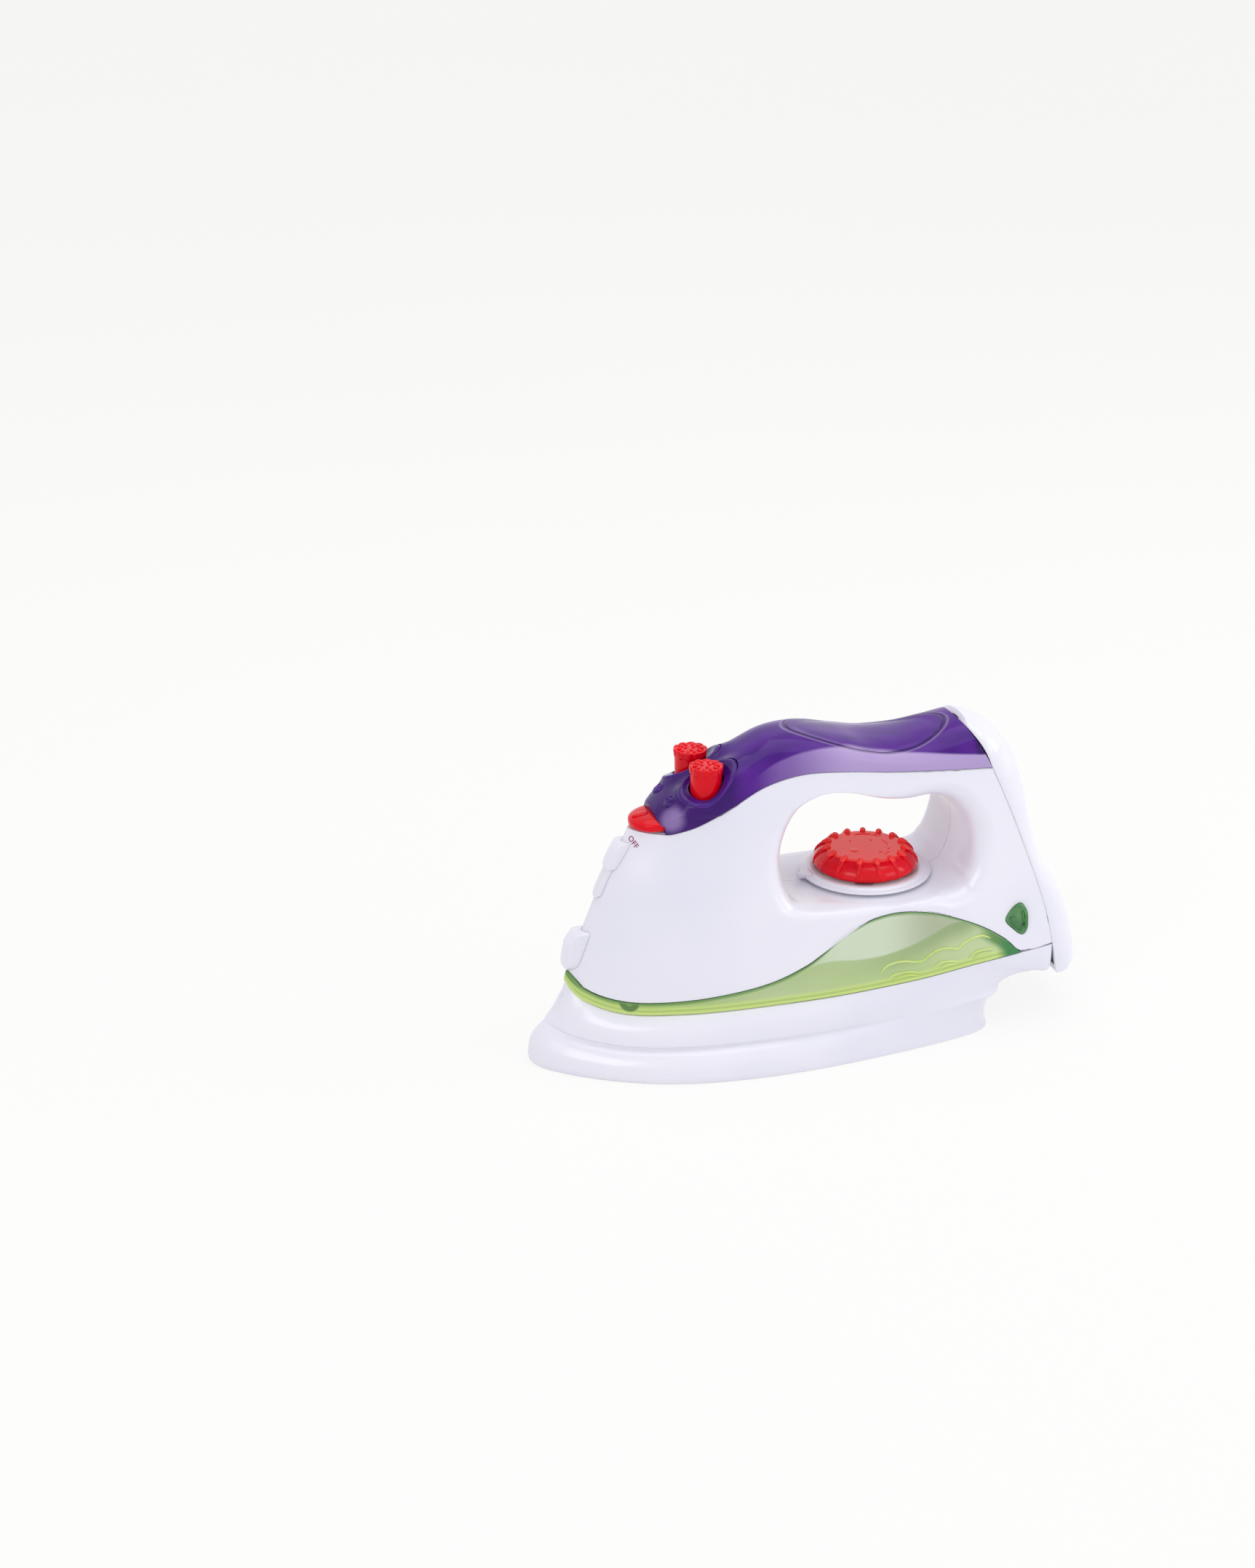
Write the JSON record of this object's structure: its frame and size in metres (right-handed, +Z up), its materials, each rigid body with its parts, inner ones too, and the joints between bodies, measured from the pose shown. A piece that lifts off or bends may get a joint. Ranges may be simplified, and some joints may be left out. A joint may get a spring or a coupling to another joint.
{
  "type": "toy steam iron",
  "caption": "Toy steam iron with a loop handle, turning heat dial, two push buttons, tilted power switch and tinted tank band.",
  "frame": {"origin": "centre of the bounding box in plan, on the plane that the sole rests on", "axes": "+X from the nose to the heel, +Y to the iron's right side, +Z up from the sole to the handle"},
  "size_m": [0.2014, 0.075, 0.1131],
  "materials": {
    "shell_white": "gloss, faintly lavender white",
    "cover_purple": "gloss, tinted translucent purple",
    "band_lime": "gloss, tinted translucent lime green",
    "lens_green": "gloss, tinted translucent dark green",
    "control_red": "gloss red",
    "sole_grey": "satin grey",
    "inner_white": "matt white",
    "panel_pale": "satin pale grey",
    "boss_green": "matt dark green",
    "board_green": "solder mask green",
    "part_black": "matt black",
    "steel_zinc": "zinc plated",
    "cell_metal": "lacquered metal can",
    "contact_brass": "plain brass",
    "shaft_ivory": "matt acetal",
    "lamp_clear": "clear diffused resin",
    "sensor_red": "dark red filter"
  },
  "bodies": {
    "iron": {"left_housing": "shell_white", "right_housing": "shell_white", "handle_cover": "cover_purple", "rear_cover": "shell_white", "tank_band": "band_lime", "base_shell": "shell_white", "sole_plate": "sole_grey", "battery_door": "sole_grey", "door_screw": "steel_zinc", "chassis_plate": "inner_white", "battery_tray": "inner_white", "left_cell": "cell_metal", "right_cell": "cell_metal", "cell_springs": "steel_zinc", "cell_plates": "steel_zinc", "main_board": "board_green", "chip_blob": "part_black", "speaker": "part_black", "sensor_lens": "sensor_red", "sensor_board": "board_green", "tank_lamp": "lamp_clear", "tank_bosses": "boss_green", "left_reflector": "panel_pale", "right_reflector": "panel_pale", "left_window": "lens_green", "right_window": "lens_green", "window_lamps": "lamp_clear", "dial_bezel": "shell_white", "dial_bracket": "inner_white", "click_spring": "steel_zinc", "button_collars": "cover_purple", "left_button_spring": "steel_zinc", "right_button_spring": "steel_zinc", "button_frame": "inner_white", "button_board": "board_green", "tact_switches": "part_black", "power_seat": "shell_white", "power_contacts": "board_green", "filler_lid": "shell_white", "spray_nozzle": "shell_white", "housing_posts": "inner_white", "housing_screws": "steel_zinc", "base_screws": "steel_zinc"},
    "dial_set": {"dial": "control_red", "dial_shaft": "shaft_ivory", "click_wheel": "shaft_ivory"},
    "left_push": {"left_button": "control_red"},
    "right_push": {"right_button": "control_red"},
    "power_set": {"power_knob": "control_red", "power_shaft": "shaft_ivory", "power_wiper": "contact_brass"}
  },
  "joints": [
    {"name": "dial_turn", "type": "hinge", "parent": "iron", "child": "dial_set", "pos_m": [0.02297, 0, 0.06], "axis": [0, 0, 1], "continuous": true},
    {"name": "left_button_press", "type": "slide", "parent": "iron", "child": "left_push", "axis": [0, 0, -1], "range_m": [0, 0.0025], "stiffness_N_per_m": 600, "springref_m": -0.002, "deforming": ["left_button_spring"]},
    {"name": "right_button_press", "type": "slide", "parent": "iron", "child": "right_push", "axis": [0, 0, -1], "range_m": [0, 0.0025], "stiffness_N_per_m": 600, "springref_m": -0.002, "deforming": ["right_button_spring"]},
    {"name": "power_switch_turn", "type": "hinge", "parent": "iron", "child": "power_set", "pos_m": [-0.05441, 0, 0.08622], "axis": [-0.0698, 0, 0.9976], "range_deg": [-20, 20]}
  ]
}
